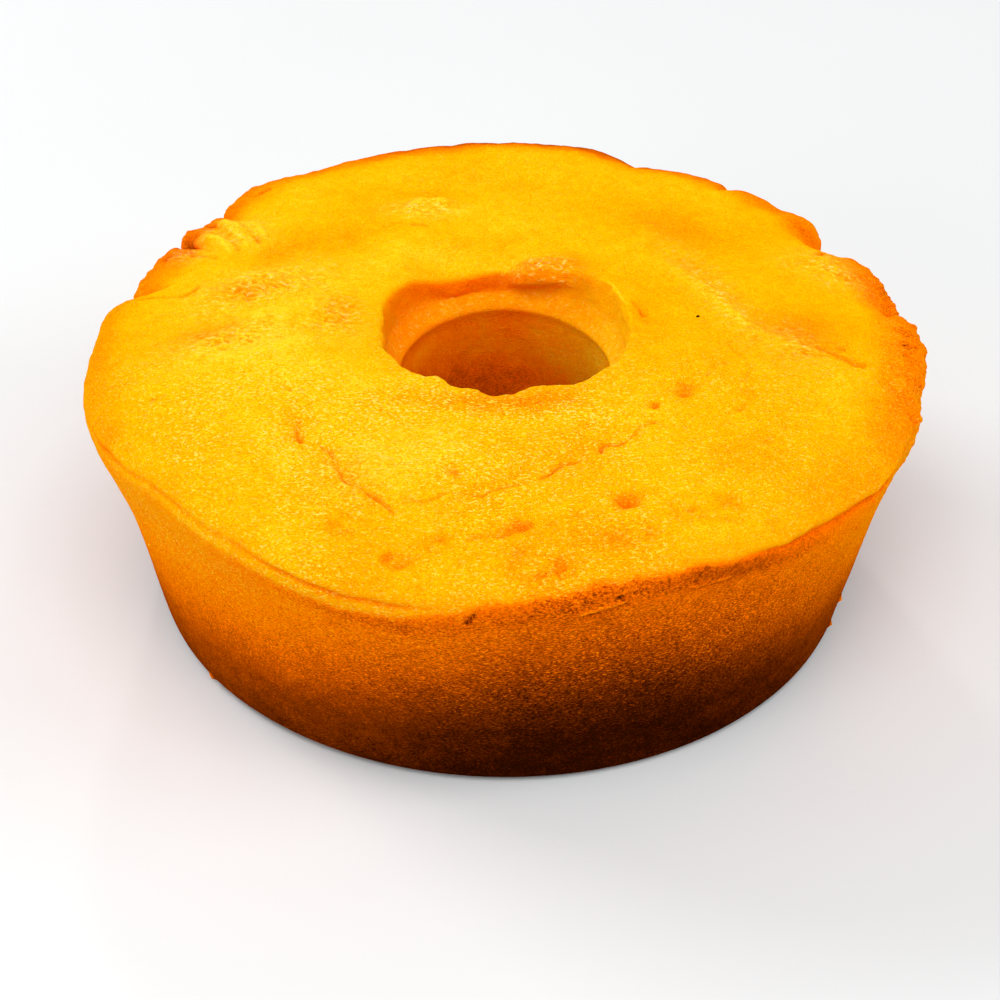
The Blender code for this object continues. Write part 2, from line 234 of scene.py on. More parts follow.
def patch(x, y, centre_x, centre_y, half_length, half_width, turn):
    """1 in the middle of a turned oval, given in mm and degrees, and 0 well outside it."""
    across, up = x - centre_x * MM, y - centre_y * MM
    cosine, sine = math.cos(math.radians(turn)), math.sin(math.radians(turn))
    along = (across * cosine + up * sine) / (half_length * MM)
    aside = (up * cosine - across * sine) / (half_width * MM)
    return bell(np.hypot(along, aside), 1.0)


def wave(points, length, octaves=2):
    """Even noise of about -1 to 1 with waves of that length, at each point."""
    return np.array([noise.fractal(Vector(p) / length, 1.0, 2.0, octaves) for p in points])


def flattened(points):
    """The points at height 0, where noise is the same all the way up a wall."""
    return points * (1.0, 1.0, 0.0)


def spline(points, count):
    """count + 1 points on a smooth curve through the given ones, evenly spaced along it."""
    knots = np.array(points, float)
    ends = np.vstack([2 * knots[0] - knots[1], knots, 2 * knots[-1] - knots[-2]])
    fine = []
    for before, start, end, after in zip(ends, ends[1:], ends[2:], ends[3:]):
        for t in np.linspace(0.0, 1.0, 24, endpoint=False):
            fine.append(
                0.5 * (2 * start + (end - before) * t
                       + (2 * before - 5 * start + 4 * end - after) * t * t
                       + (3 * start - before - 3 * end + after) * t ** 3)
            )
    fine = np.array(fine + [knots[-1]])
    along = np.concatenate([[0.0], np.cumsum(np.linalg.norm(np.diff(fine, axis=0), axis=1))])
    wanted = np.linspace(0.0, along[-1], count + 1)
    return np.column_stack([np.interp(wanted, along, fine[:, i]) for i in range(fine.shape[1])])


def arc(centre, radius, start, end, count):
    """count + 1 points on an arc, between two angles in degrees."""
    angles = np.radians(np.linspace(start, end, count + 1))
    return np.column_stack([centre[0] + radius * np.cos(angles), centre[1] + radius * np.sin(angles)])


def crust_line():
    """The free crust's line from the throat, over the top and down to the wall."""
    return [
        (THROAT_RADIUS + 0.7 * MM, THROAT_HEIGHT - 2.2 * MM),
        (THROAT_RADIUS, THROAT_HEIGHT - 0.4 * MM),
        (THROAT_RADIUS + 0.5 * MM, THROAT_HEIGHT + 0.5 * MM),
        (MOUTH_RADIUS - 4.2 * MM, THROAT_HEIGHT + 2.4 * MM),
        (MOUTH_RADIUS - 2.2 * MM, THROAT_HEIGHT + 5.8 * MM),
        (MOUTH_RADIUS - 1.1 * MM, CAKE_HEIGHT - 7.2 * MM),
        (MOUTH_RADIUS - 0.5 * MM, CAKE_HEIGHT - 3.8 * MM),
        (MOUTH_RADIUS + 0.1 * MM, CAKE_HEIGHT - 2.2 * MM),
        (MOUTH_RADIUS + 1.5 * MM, CAKE_HEIGHT - 1.4 * MM),
        (MOUTH_RADIUS + 7.4 * MM, CAKE_HEIGHT - 0.8 * MM),
        (53.0 * MM, CAKE_HEIGHT - 0.1 * MM),
        (66.0 * MM, CAKE_HEIGHT),
        (80.0 * MM, CAKE_HEIGHT - 0.6 * MM),
        (93.0 * MM, CAKE_HEIGHT - 2.4 * MM),
        (RIM_RADIUS - 8.2 * MM, RIM_HEIGHT + 8.5 * MM),
        (RIM_RADIUS - 3.2 * MM, RIM_HEIGHT + 6.5 * MM),
        (RIM_RADIUS - 0.6 * MM, RIM_HEIGHT + 3.7 * MM),
        (RIM_RADIUS, RIM_HEIGHT + 0.4 * MM),
        (RIM_RADIUS - 0.6 * MM, RIM_HEIGHT - 3.8 * MM),
        (WALL_TOP_RADIUS, WALL_TOP_HEIGHT),
    ]


def cake_section():
    """The closed section as (radius, height), up the tube's print, over the crust and round the base."""
    tube_foot = arc(
        (TUBE_BASE_RADIUS + TUBE_CORNER, TUBE_CORNER), TUBE_CORNER, 270.0, 180.0, CORNER_ROWS
    )
    tube = spline([tube_foot[-1], crust_line()[0]], TUBE_ROWS)
    crust = spline(crust_line(), CRUST_ROWS)
    corner = arc((BASE_RADIUS - BASE_CORNER, BASE_CORNER), BASE_CORNER, -12.0, -90.0, CORNER_ROWS)
    wall = spline([crust[-1], corner[0]], WALL_ROWS)
    base = spline([corner[-1], tube_foot[0]], BASE_ROWS)
    return np.vstack([tube_foot[:-1], tube[:-1], crust[:-1], wall[:-1], corner[:-1], base[:-1]])


def turned_ring(name, section, steps):
    """A mesh of the section turned round the Z axis."""
    guide_mesh = bpy.data.meshes.new(name + "_section")
    count = len(section)
    guide_mesh.from_pydata(
        [(radius, 0.0, height) for radius, height in section],
        [(i, (i + 1) % count) for i in range(count)],
        [],
    )
    guide = bpy.data.objects.new(name + "_section", guide_mesh)
    bpy.context.scene.collection.objects.link(guide)
    turn = guide.modifiers.new("Turn", "SCREW")
    turn.axis = "Z"
    turn.angle = math.tau
    turn.steps = turn.render_steps = steps
    turn.use_merge_vertices = False
    mesh = evaluated_mesh(guide, name)
    bpy.data.objects.remove(guide)
    return mesh


def evaluated_mesh(thing, name):
    """A new mesh of the object with its modifiers applied."""
    graph = bpy.context.evaluated_depsgraph_get()
    mesh = bpy.data.meshes.new_from_object(thing.evaluated_get(graph))
    mesh.name = name
    return mesh


def swelled(angle, swellings, column):
    """The sum of the swellings' changes at each angle, in metres."""
    return sum(part[column] * MM * around(angle, part[0], part[1]) for part in swellings)


def cusp(distance, half_width):
    """1 on the line itself, falling away sharply on both sides."""
    return np.exp(-np.abs(distance) / half_width)


def polar(points):
    """(angle, radius, z) of each point."""
    x, y, z = points.T
    return np.arctan2(y, x), np.hypot(x, y), z


def from_polar(angle, radius, z):
    return np.column_stack([radius * np.cos(angle), radius * np.sin(angle), z])


def split_rim(angle, radius, z):
    """Draws the edge in and down where the crust has split between two swellings."""
    high = smooth_step(*SPLIT_HEIGHTS, z)
    inwards = np.zeros(len(z))
    downwards = np.zeros(len(z))
    for edge_angle, inner_angle, inner_radius, half_width, draw, depth in RIM_SPLITS:
        share = np.clip((radius / MM - inner_radius) / (RIM_RADIUS / MM - inner_radius), 0.0, 1.2)
        centre = inner_angle + (edge_angle - inner_angle) * share
        aside = cusp(np.radians(turned_by(angle, centre)) * radius, half_width * MM)
        inwards += draw * MM * aside * smooth_step(0.3, 1.0, share) * high ** 2
        downwards += depth * MM * aside * smooth_step(0.0, 0.7, share) * high
    return radius - inwards, z - downwards


def shape_rim(points):
    """Swells, roughens and splits the crust's edge."""
    angle, radius, z = polar(points)
    high = smooth_step(*RIM_HEIGHTS, z)
    near_edge = smooth_step(*RIM_RADII, radius)
    craggy = high * smooth_step(*CRAG_RADII, radius) * (
        0.25 + around(angle, *RIGHT_CRAGS) + 0.8 * around(angle, *LEFT_CRAGS)
    )
    crag = wave(points, CRAG_WAVE) * CRAG_RISE * craggy
    radius = radius + swelled(angle, RIM_SWELLINGS, 2) * high * near_edge + crag
    z = z + swelled(angle, RIM_SWELLINGS, 3) * high * near_edge + 0.6 * crag
    radius, z = split_rim(angle, radius, z)
    return from_polar(angle, radius, z)


def shape_mouth(points):
    """Tears the mouth of the hole, lets its back edge sag, and leans a flap of crust over it."""
    angle, radius, z = polar(points)
    near = 1.0 - smooth_step(MOUTH_RADIUS, MOUTH_RADIUS + 16.0 * MM, radius)
    lip = near * smooth_step(THROAT_HEIGHT + 3.0 * MM, CAKE_HEIGHT - 5.0 * MM, z)
    tear = wave(points, TEAR_WAVE) * TEAR_DEPTH * (1.0 - smooth_step(*TEAR_RADII, radius))
    flap = bell(turned_by(angle, FLAP_ANGLE) ** 2, FLAP_SPREAD ** 2)
    flap = flap * smooth_step(FLAP_FOOT_HEIGHT, FLAP_FOOT_HEIGHT + 2.0 * MM, z)
    pillow = flap * bell(radius - MOUTH_RADIUS - 1.0 * MM, FLAP_LENGTH)
    reach = flap * (1.0 - smooth_step(MOUTH_RADIUS, MOUTH_RADIUS + 10.0 * MM, radius))
    throat = 1.0 - smooth_step(THROAT_RADIUS + 1.0 * MM, THROAT_RADIUS + 6.0 * MM, radius)
    throat = throat * smooth_step(THROAT_HEIGHT - 12.0 * MM, THROAT_HEIGHT - 1.0 * MM, z)
    at_back = np.clip(np.sin(angle), 0.0, 1.0) ** 2
    radius = radius + (swelled(angle, MOUTH_SWELLINGS, 2) + tear) * lip - FLAP_REACH * reach
    z = z + swelled(angle, MOUTH_SWELLINGS, 3) * lip + FLAP_RISE * pillow
    z = z + THROAT_RISE * throat * at_back
    return from_polar(angle, radius, z)


def path_distance(x, y, path):
    """(distance to a path in mm, share of the way along it) for each point; far points are skipped."""
    smooth = spline(path, 24) * MM
    best = np.full(len(x), np.inf)
    share = np.zeros(len(x))
    low, high = smooth.min(axis=0) - PATH_REACH, smooth.max(axis=0) + PATH_REACH
    near = np.flatnonzero((x > low[0]) & (x < high[0]) & (y > low[1]) & (y < high[1]))
    x, y = x[near], y[near]
    for i, (start, end) in enumerate(zip(smooth, smooth[1:])):
        run = end - start
        t = np.clip(((x - start[0]) * run[0] + (y - start[1]) * run[1]) / (run @ run), 0.0, 1.0)
        away = np.hypot(x - start[0] - t * run[0], y - start[1] - t * run[1])
        closer = away < best[near]
        best[near] = np.where(closer, away, best[near])
        share[near] = np.where(closer, (i + t) / (len(smooth) - 1), share[near])
    return best, share


def ends_fade(share, length):
    """1 along a path and 0 at its ends; the length is the share of the path that each end takes."""
    return smooth_step(0.0, length, share) * smooth_step(0.0, length, 1.0 - share)


def wobbled(points, amount, length):
    """x and y moved a little by noise, so that no fold or crease of the top runs too smoothly."""
    flat = flattened(points)
    return (
        points[:, 0] + amount * wave(flat + 0.3, length),
        points[:, 1] + amount * wave(flat + 0.7, length),
    )


def top_relief(points):
    """How far the crust rises or sinks at each point of the top."""
    flat = flattened(points)
    x, y = wobbled(points, FOLD_WOBBLE, CLOSE_WAVE)
    rise = BROAD_RISE * wave(flat, BROAD_WAVE) + CLOSE_RISE * wave(flat, CLOSE_WAVE)
    for path, split_width, split_depth, valley_width, valley_depth in FOLDS:
        away, share = path_distance(x, y, path)
        groove = split_depth * bell(away, split_width * MM) + valley_depth * bell(away, valley_width * MM)
        rise = rise - MM * groove * ends_fade(share, FOLD_FADE)
    for path, half_width, height in RIDGES:
        away, share = path_distance(x, y, path)
        rise = rise + height * MM * bell(away, half_width * MM) * ends_fade(share, FOLD_FADE)
    for *oval, depth in HOLLOWS:
        rise = rise - depth * MM * patch(x, y, *oval)
    return rise


def shape_top(points):
    """Raises and sinks the crust of the top."""
    x, y, z = points.T
    radius = np.hypot(x, y)
    crust = smooth_step(*TOP_HEIGHTS, z) * smooth_step(*TOP_RADII, radius)
    return np.column_stack([x, y, z + top_relief(points) * crust])


def shape_wall(points):
    """Gives the wall and the tube's print the slight swell of a baked side."""
    angle, radius, z = polar(points)
    side = smooth_step(*WALL_FOOT_HEIGHTS, z) * (1.0 - smooth_step(*WALL_HEAD_HEIGHTS, z))
    radius = radius + WALL_SWELL * wave(points, WALL_WAVE) * side
    outer = smooth_step(70.0 * MM, BASE_RADIUS - BASE_CORNER, radius)
    for centre, half_width, height, half_height, change in WALL_SWELLINGS:
        share = around(angle, centre, half_width) * bell(z - height * MM, half_height * MM)
        radius = radius + change * MM * share * outer
    return from_polar(angle, radius, z)


def shaped(points):
    """The section's points after every change of shape."""
    for shape in (shape_wall, shape_rim, shape_mouth, shape_top):
        points = shape(points)
    return points


# --- Finer relief of the visible crust ---

# Waves and heights of the grain, lumps, crags, wrinkles, creases, pits and the mouth's teeth.
GRAIN_WAVE = 2.4 * MM
GRAIN_RISE = 0.15 * MM
LUMP_WAVE = 6.5 * MM
LUMP_RISE = 0.42 * MM
FINE_CRAG_WAVE = 2.6 * MM
FINE_CRAG_RISE = 0.8 * MM
WRINKLE_WAVE = 3.2 * MM
WRINKLE_RISE = 1.4 * MM
EDGE_WAVE = 9.0 * MM
CREASE_WOBBLE_WAVE = CLOSE_WAVE / 2.0
CREASE_WAVE = 7.0 * MM
BLOTCH_WAVE = 3.6 * MM
TOOTH_WAVE = 7.0 * MM
TOOTH_RISE = 0.9 * MM
TOOTH_LENGTH = 2.5 * MM
# Where the finer relief begins and is full, as above.
FINE_TOP_HEIGHTS = (72.0 * MM, 75.0 * MM)
FINE_TOP_RADII = (33.0 * MM, 38.0 * MM)
FINE_RIM_HEIGHTS = (52.0 * MM, 62.0 * MM)
FINE_RIM_RADII = (100.0 * MM, 108.0 * MM)
FOOT_HEIGHTS = (1.0 * MM, 6.0 * MM)
TOOTH_HEIGHTS = (70.0 * MM, 76.0 * MM)
CREASE_HEIGHTS = (66.0 * MM, 70.0 * MM)
GLOSSY_TOP_HEIGHTS = (73.0 * MM, 76.0 * MM)
LEDGE_HEAD_HEIGHTS = (68.0 * MM, 72.0 * MM)
FINE_RIGHT_CRAGS = (5.0, 28.0)
FINE_LEFT_CRAGS = (152.0, 18.0)
# Outside this radius the crust is the rim's and the wall's, and inside the other one the hole's.
EDGE_REACH = 100.0 * MM
HOLE_REACH = 40.0 * MM
# Wrinkled patches: (x, y, half-length, half-width in mm, turned by degrees, height in mm).
WRINKLED = (
    (-66, 14, 18, 8, 30, 0.45),
    (-72, -12, 15, 7, 25, 0.45),
    (-45, 0, 7, 10, 10, 0.35),
    (-78, 46, 10, 8, -35, 0.28),
    (-24, 58, 9, 4, -5, 0.5),
    (58, 10, 5, 26, 22, 0.3),
    (77, -12, 5, 9, 20, 0.4),
    (90, 28, 10, 7, -30, 0.4),
    (-92, 38, 7, 4, -40, 0.4),
    (9, 31, 8, 4, -10, 0.6),
    (16, 27, 6, 3, -40, 0.2),
    (-30, -70, 14, 9, 20, 0.2),
)
# Fine creases of the top: (points in mm, half-width, depth, darkening: painted shade in the groove, and
# where negative a painted highlight along a raised line).
CREASES = (
    (((-52.5, -47), (-51.5, -50), (-51, -54), (-50, -59)), 0.6, 1.0, 0.2),
    (((-47.5, -57.5), (-45.5, -59), (-42, -64), (-40.5, -69), (-38.5, -73), (-35.5, -76),
      (-32.5, -79), (-29.5, -81.5), (-26.5, -86), (-25, -89)), 0.5, 1.1, 0.2),
    (((-26, -85.5), (-21, -82.5), (-18, -83.5), (-15, -80.5), (-9.5, -80), (-5, -80),
      (-0.5, -77), (5, -75.5), (10, -71.5), (13, -67.5), (17, -65), (21.5, -63)),
     0.5, 0.9, 0.13),
    (((23.5, -63.5), (24, -59.5), (28, -59.5), (31.5, -56.5), (35, -52), (38.5, -49.5)),
     0.5, 0.9, 0.12),
    (((-10.5, -95), (-3, -93.7), (4.5, -91), (8, -89)), 0.7, 0.6, 0.1),
    (((-101, 13), (-95, 11.8), (-89, 10.8), (-85, 13.2), (-83.8, 18.5)), 0.7, 0.9, 0.12),
    (((-58.5, -33), (-55.5, -37.2), (-53.8, -37)), 0.6, 0.7, 0.1),
    (((-74, 70.5), (-71.5, 72.5), (-69, 72.8)), 0.7, 0.6, 0.2),
    (((-91, 41.5), (-87.5, 36), (-84.5, 33.5)), 0.8, 0.8, 0.2),
    (((-38, 43.5), (-34.5, 48.8), (-27.8, 50), (-21, 48.5)), 0.7, 0.5, 0.05),
    (((34, 13), (36, 8.5), (38, 4.5)), 0.5, 1.2, 0.22),
    (((58.2, -11.5), (60.8, -18.8), (63, -25), (62, -29.5), (59.5, -33)), 0.6, 0.6, 0.08),
    (((54.7, -18), (54.3, -22.5), (51, -29.5)), 0.6, 0.6, 0.06),
    (((55.5, -46.2), (60.2, -42.4)), 0.6, 0.7, 0.1),
    (((77, -16), (81, -17.3), (85, -17.3), (90.5, -18.8), (95, -18.4)), 0.7, 1.0, 0.16),
    (((86.5, -12.2), (89.5, -13.3)), 0.6, 0.6, 0.12),
    (((84, 48.7), (87, 48)), 0.8, 0.7, 0.25),
    (((85.5, 34), (90, 40.5)), 0.8, 0.7, 0.2),
    (((3, 33), (5, 35.2), (9, 36.2), (13.5, 34.6), (16, 31)), 0.5, 1.1, 0.16),
    (((-86.5, 52.5), (-83, 55), (-78, 52), (-72, 43.5), (-69, 37.5)), 0.6, 0.8, 0.11),
    (((-85.5, 46), (-82, 46), (-77.5, 40), (-74, 34)), 0.6, 0.7, 0.11),
    (((-88, 55.5), (-84.5, 61), (-78, 57), (-71.5, 50), (-67.5, 39)), 0.7, -0.6, -0.09),
    (((-86, 48.5), (-82.5, 50), (-78, 47), (-72, 36.5)), 0.7, -0.5, -0.09),
    (((-86, 44), (-82, 42), (-76.5, 32.5)), 0.6, -0.4, -0.09),
    (((-89, 36.5), (-84, 32.5), (-80, 30)), 0.8, 0.9, 0.16),
    (((46.8, -31), (45.5, -38)), 2.4, 0.6, 0.16),
    (((38.4, -42), (37.4, -45.5)), 1.0, 0.6, 0.12),
    (((27, 23.5), (31, 17), (33.4, 6.5), (33.6, -2.5), (33.2, -9)), 0.5, -0.5, -0.12),
)
# Small pits of the top: (x, y, half-width, depth in mm, darkening, partly browning and partly painted shade
# in the pit).
PITS = (
    (-89.5, -38.4, 0.7, 0.4, 0.09),
    (-67.4, -35.5, 0.6, 0.4, 0.08),
    (-27.0, -98.6, 1.1, 0.8, 0.16),
    (-24.0, -99.6, 1.2, 0.8, 0.16),
    (-12.0, -72.5, 2.4, 0.7, 0.15),
    (-15.5, -95.5, 1.8, 0.6, 0.16),
    (4.0, -100.5, 2.6, 0.6, 0.1),
    (9.5, -103.5, 2.6, 0.8, 0.14),
    (13.0, -104.0, 2.0, 0.5, 0.1),
    (-8.5, -100.5, 1.5, 0.5, 0.14),
    (4.5, -91.0, 1.6, 0.6, 0.12),
    (18.5, -88.0, 2.0, 0.4, 0.08),
    (11.5, -90.5, 1.4, 0.4, 0.08),
    (-38.5, -88.5, 3.0, 0.5, 0.1),
    (43.5, -85.8, 2.6, 0.6, 0.14),
    (54.6, -80.4, 2.0, 0.5, 0.1),
    (52.0, -86.6, 0.9, 0.4, 0.16),
    (30.5, -94.5, 2.4, 0.5, 0.14),
    (29.5, -82.8, 2.6, 0.9, 0.15),
    (-53.0, -23.0, 1.4, 0.4, 0.06),
    (22.0, -52.0, 1.8, 0.5, 0.08),
    (-70.0, -60.0, 2.0, 0.3, 0.05),
    (57.0, -22.0, 0.8, 0.4, 0.1),
    (-90.5, 50.0, 2.2, 0.3, 0.1),
    (-94.0, 38.5, 1.8, 0.3, 0.14),
)
# The line where the top's crust meets the pan's print: (angle, height on the unshaped section in mm).
EDGE_LINE = (
    (0.0, 67.5), (180.0, 67.0), (205.0, 69.0), (225.0, 69.0), (235.0, 70.0), (245.0, 68.2),
    (258.0, 69.0), (270.0, 70.2), (281.0, 71.4), (294.0, 69.8), (308.0, 68.8), (321.0, 69.4),
    (330.0, 67.2), (360.0, 67.5),
)
# How far below that line the pale crust rolls over before it browns: (angle, mm).
ROLL = (
    (0.0, 2.0), (200.0, 2.0), (228.0, 2.5), (238.0, 3.4), (249.0, 3.8), (258.0, 2.6), (266.0, 0.0),
    (360.0, 0.0),
)
# How deep the crease at the edge is: (angle, mm).
EDGE_CREASE = (
    (0.0, 0.2), (196.0, 0.0), (206.0, 0.7), (216.0, 0.5), (234.0, 0.5), (240.0, 0.9), (256.0, 0.9),
    (264.0, 0.1), (300.0, 0.1), (306.0, 1.1), (330.0, 1.1), (345.0, 0.5), (360.0, 0.2),
)
# Darker bands under the roll, partly browning and partly painted shade under its overhang: (middle and
# half-width in degrees, mm below the edge, half-height in mm, darkening).
PAINTED_ROLL_SHADE = (
    (252.0, 22.0, 6.2, 2.4, 0.1),
    (302.0, 15.0, 3.0, 2.6, 0.11),
)
# Marks on the side: (angle and height in mm of both ends, half-width, rise in mm, darkening: painted light
# on the raised flakes and crumbs, painted shade in the dents).
SIDE_MARKS = (
    (279.5, 65.3, 284.8, 67.4, 0.5, 0.7, -0.15),
    (279.8, 64.5, 285.0, 66.5, 0.5, -0.5, 0.12),
    (294.0, 66.9, 299.2, 66.5, 0.5, 0.6, -0.12),
    (294.0, 66.0, 299.4, 65.6, 0.5, -0.4, 0.12),
    (284.0, 68.3, 284.4, 68.6, 0.6, -0.8, 0.3),
    (265.6, 63.6, 266.5, 66.2, 0.6, -0.9, 0.25),
    (209.7, 41.4, 209.8, 41.5, 0.7, 0.8, -0.3),
    (216.9, 2.6, 217.0, 2.7, 0.9, 0.9, -0.5),
    (336.9, 15.0, 337.0, 15.2, 0.8, 0.9, -0.6),
    (338.9, 3.0, 339.0, 3.1, 0.8, 0.9, -0.6),
)


def round_the_rim(angle, table):
    """A table's value in mm at each angle, evened out between its entries."""
    angles, values = np.array(table).T
    return np.interp(np.degrees(angle) % 360.0, angles, values)


def above_edge(source, points):
    """How many mm each point of the section is above the crust's edge line, which runs a little unevenly."""
    angle, _, z = polar(source)
    return z / MM - round_the_rim(angle, EDGE_LINE) - 0.6 * wave(flattened(points), EDGE_WAVE)


def wrinkle_share(points):
    """How high the wrinkles are at each point of the top."""
    x, y = points[:, 0], points[:, 1]
    return sum(part[5] * patch(x, y, *part[:5]) for part in WRINKLED)


def gloss_and_glint_share(source, points):
    """How wrinkled and glossy the crust is, which also sets where glints are painted on it: in patches on
    the top and a little on the throat's ledge.
    """
    _, radius, z = polar(source)
    ledge = smooth_step(THROAT_HEIGHT - 0.5 * MM, THROAT_HEIGHT + 1.5 * MM, z)
    ledge = ledge * (1.0 - smooth_step(*LEDGE_HEAD_HEIGHTS, z)) * (radius < MOUTH_RADIUS)
    # Painted glints follow this share as well as the gloss and the ripples.
    top = 2.0 * wrinkle_share(points) * smooth_step(*GLOSSY_TOP_HEIGHTS, z)
    return np.clip(top + 0.25 * ledge, 0.0, 1.0)


def wrinkle_ridges(points):
    """Sharp-crested noise, about 1 on a crest and below 0 between crests."""
    return 1.0 - np.abs(wave(points * (1.0, 1.5, 1.0), WRINKLE_WAVE, 3)) * 2.4


def marks(points, x, y):
    """(rise in mm, darkening) of the creases and pits of the top: painted shade in the grooves, painted
    highlight on raised lines, and browning with painted shade in the pits.
    """
    rise = np.zeros(len(x))
    painted_light_and_browning = np.zeros(len(x))
    uneven = np.clip(0.75 + 1.3 * wave(flattened(points) + 0.2, CREASE_WAVE), 0.4, 1.5)
    blotchy = np.clip(0.9 + 2.6 * wave(points * (1.0, 1.3, 0.0) + 0.6, BLOTCH_WAVE, 3), 0.0, 2.0)
    for path, half_width, depth, browning in CREASES:
        away, share = path_distance(x, y, path)
        ends = ends_fade(share, CREASE_FADE)
        rise -= depth * bell(away, half_width * MM) * ends * uneven
        # Painted shade in the grooves, and painted highlight on raised lines where the browning is negative.
        painted_light_and_browning += browning * bell(away, half_width * MM) * ends * uneven
    for centre_x, centre_y, half_width, depth, browning in PITS:
        share = patch(x, y, centre_x, centre_y, half_width * 1.3, half_width, 20.0)
        rise -= depth * share
        wide = patch(x, y, centre_x, centre_y, half_width * 1.8, half_width * 1.3, 20.0)
        # Browning and painted shade in the pits.
        painted_light_and_browning += 0.9 * browning * wide * blotchy
    return rise, painted_light_and_browning


def side_marks(points):
    """(rise in mm, darkening) of the flakes, dents and crumbs of the side: painted light on the flakes and
    crumbs and painted shade in the dents.
    """
    angle, radius, z = polar(points)
    rise = np.zeros(len(z))
    painted_light_and_browning = np.zeros(len(z))
    for start_angle, start_z, end_angle, end_z, half_width, height, browning in SIDE_MARKS:
        across = np.radians(turned_by(angle, start_angle)) * radius / MM
        up = z / MM - start_z
        run = np.array([math.radians(end_angle - start_angle) * RIM_RADIUS / MM, end_z - start_z])
        t = np.clip((across * run[0] + up * run[1]) / (run @ run), 0.0, 1.0)
        share = bell(np.hypot(across - t * run[0], up - t * run[1]), half_width) * (radius > 80.0 * MM)
        rise += height * share
        # Painted light on the flakes and crumbs, painted shade in the dents.
        painted_light_and_browning += browning * share
    return rise, painted_light_and_browning


def fine_relief(source, points):
    """How far the surface stands out along its normal, in metres."""
    angle, radius, z = polar(source)
    top = smooth_step(*FINE_TOP_HEIGHTS, z) * smooth_step(*FINE_TOP_RADII, radius)
    outer = smooth_step(*FINE_RIM_RADII, radius) * smooth_step(*FINE_RIM_HEIGHTS, z)
    seen = smooth_step(*FOOT_HEIGHTS, z)
    rise = GRAIN_RISE * wave(points, GRAIN_WAVE, 3) * (0.35 + 0.65 * top) * seen
    rise = rise + LUMP_RISE * wave(points, LUMP_WAVE) * top
    teeth = bell(radius - MOUTH_RADIUS, TOOTH_LENGTH) * smooth_step(*TOOTH_HEIGHTS, z)
    in_front = smooth_step(-0.4, 0.2, -np.sin(angle))
    rise = rise + TOOTH_RISE * wave(points, TOOTH_WAVE, 3) * teeth * in_front
    rise = rise + WRINKLE_RISE * wrinkle_share(points) * wrinkle_ridges(points) * top
    craggy = outer * (0.15 + around(angle, *FINE_RIGHT_CRAGS) + 0.7 * around(angle, *FINE_LEFT_CRAGS))
    rise = rise + FINE_CRAG_RISE * wave(points, FINE_CRAG_WAVE, 3) * craggy
    above = above_edge(source, points)
    crease = round_the_rim(angle, EDGE_CREASE) * (radius > EDGE_REACH)
    rise = rise + MM * crease * (0.6 * bell(above - 1.6, 1.3) - bell(above, 0.7))
    creased = MM * marks(points, *wobbled(points, CREASE_WOBBLE, CREASE_WOBBLE_WAVE))[0]
    rise = rise + creased * (radius > 30.0 * MM) * smooth_step(*CREASE_HEIGHTS, z)
    return rise + MM * side_marks(points)[0]


def edge_painted_shade(source, points):
    """How much darker the crease at the edge and the crust under its roll are: painted shade in the crease,
    and partly browning and partly painted shade under the roll.
    """
    angle, radius, _ = polar(source)
    above = above_edge(source, points)
    # Partly browning and partly painted shade under the roll.
    under = sum(
        browning * bell(above + below, half_height) * around(angle, middle, half_width)
        for middle, half_width, below, half_height, browning in PAINTED_ROLL_SHADE
    )
    # Painted shade in the crease at the edge.
    crease = 0.2 * round_the_rim(angle, EDGE_CREASE) * bell(above, 0.9)
    return (crease + under) * (radius > EDGE_REACH)


def displaced(mesh, source):
    """Moves the mesh's points along their normals by the fine relief."""
    points = mesh_points(mesh)
    normals = np.empty(len(mesh.vertices) * 3, np.float32)
    mesh.vertices.foreach_get("normal", normals)
    moved = points + normals.reshape(-1, 3) * fine_relief(source, points)[:, None]
    set_points(mesh, moved)


def mesh_points(mesh):
    points = np.empty(len(mesh.vertices) * 3, np.float32)
    mesh.vertices.foreach_get("co", points)
    return points.reshape(-1, 3).astype(float)


def set_points(mesh, points):
    mesh.vertices.foreach_set("co", points.astype(np.float32).ravel())
    mesh.update()


def outward(mesh):
    """Turns the faces to point out of the solid."""
    shape = bmesh.new()
    shape.from_mesh(mesh)
    bmesh.ops.recalc_face_normals(shape, faces=shape.faces)
    shape.to_mesh(mesh)
    shape.free()


# --- Bake: how dark the crust is, 0 pale yellow to 1 near black, browning and painted light and shade together ---

# How dark the side is, browning and painted shade together, darker towards the foot: (height in mm, level),
# and how much darker it is round the front's middle, again partly browning and partly painted shade.
WALL_BROWNING_AND_SHADE = (
    (0.0, 0.86), (5.0, 0.82), (19.0, 0.725), (33.0, 0.54), (47.0, 0.41), (61.0, 0.33), (72.0, 0.24),
)
FRONT_BROWNING_AND_SHADE = (
    (0.0, 0.22), (12.0, 0.24), (19.0, 0.28), (33.0, 0.38), (47.0, 0.34), (61.0, 0.30), (72.0, 0.28),
)
FRONT_ANGLE = 286.5
FRONT_SPREAD = 39.5
# Sectors that are darker or paler than the rest: (middle and half-width in degrees, darkening).
RIM_RIGHT = (8.0, 34.0, 0.27)
RIM_BACK = (85.0, 50.0, 0.5)
RIM_LOBES = (153.0, 14.0, 0.26)
RIM_FRONT = (268.0, 50.0, -0.06)
RIM_LEFT = (183.0, 16.0, 0.13)
WALL_BACK = (85.0, 50.0, 0.3)
# The hole's sectors are painted light and shade: the tube and the funnel paler on the right, the funnel
# darker on the left and high at the back under the lip.
TUBE_PAINTED_LIGHT = (18.0, 48.0, -0.37)
FUNNEL_PAINTED_SHADE_BACK = (112.0, 42.0, 0.24)
FUNNEL_PAINTED_SHADE_LEFT = (180.0, 45.0, 0.13)
FUNNEL_PAINTED_LIGHT = (5.0, 50.0, -0.13)
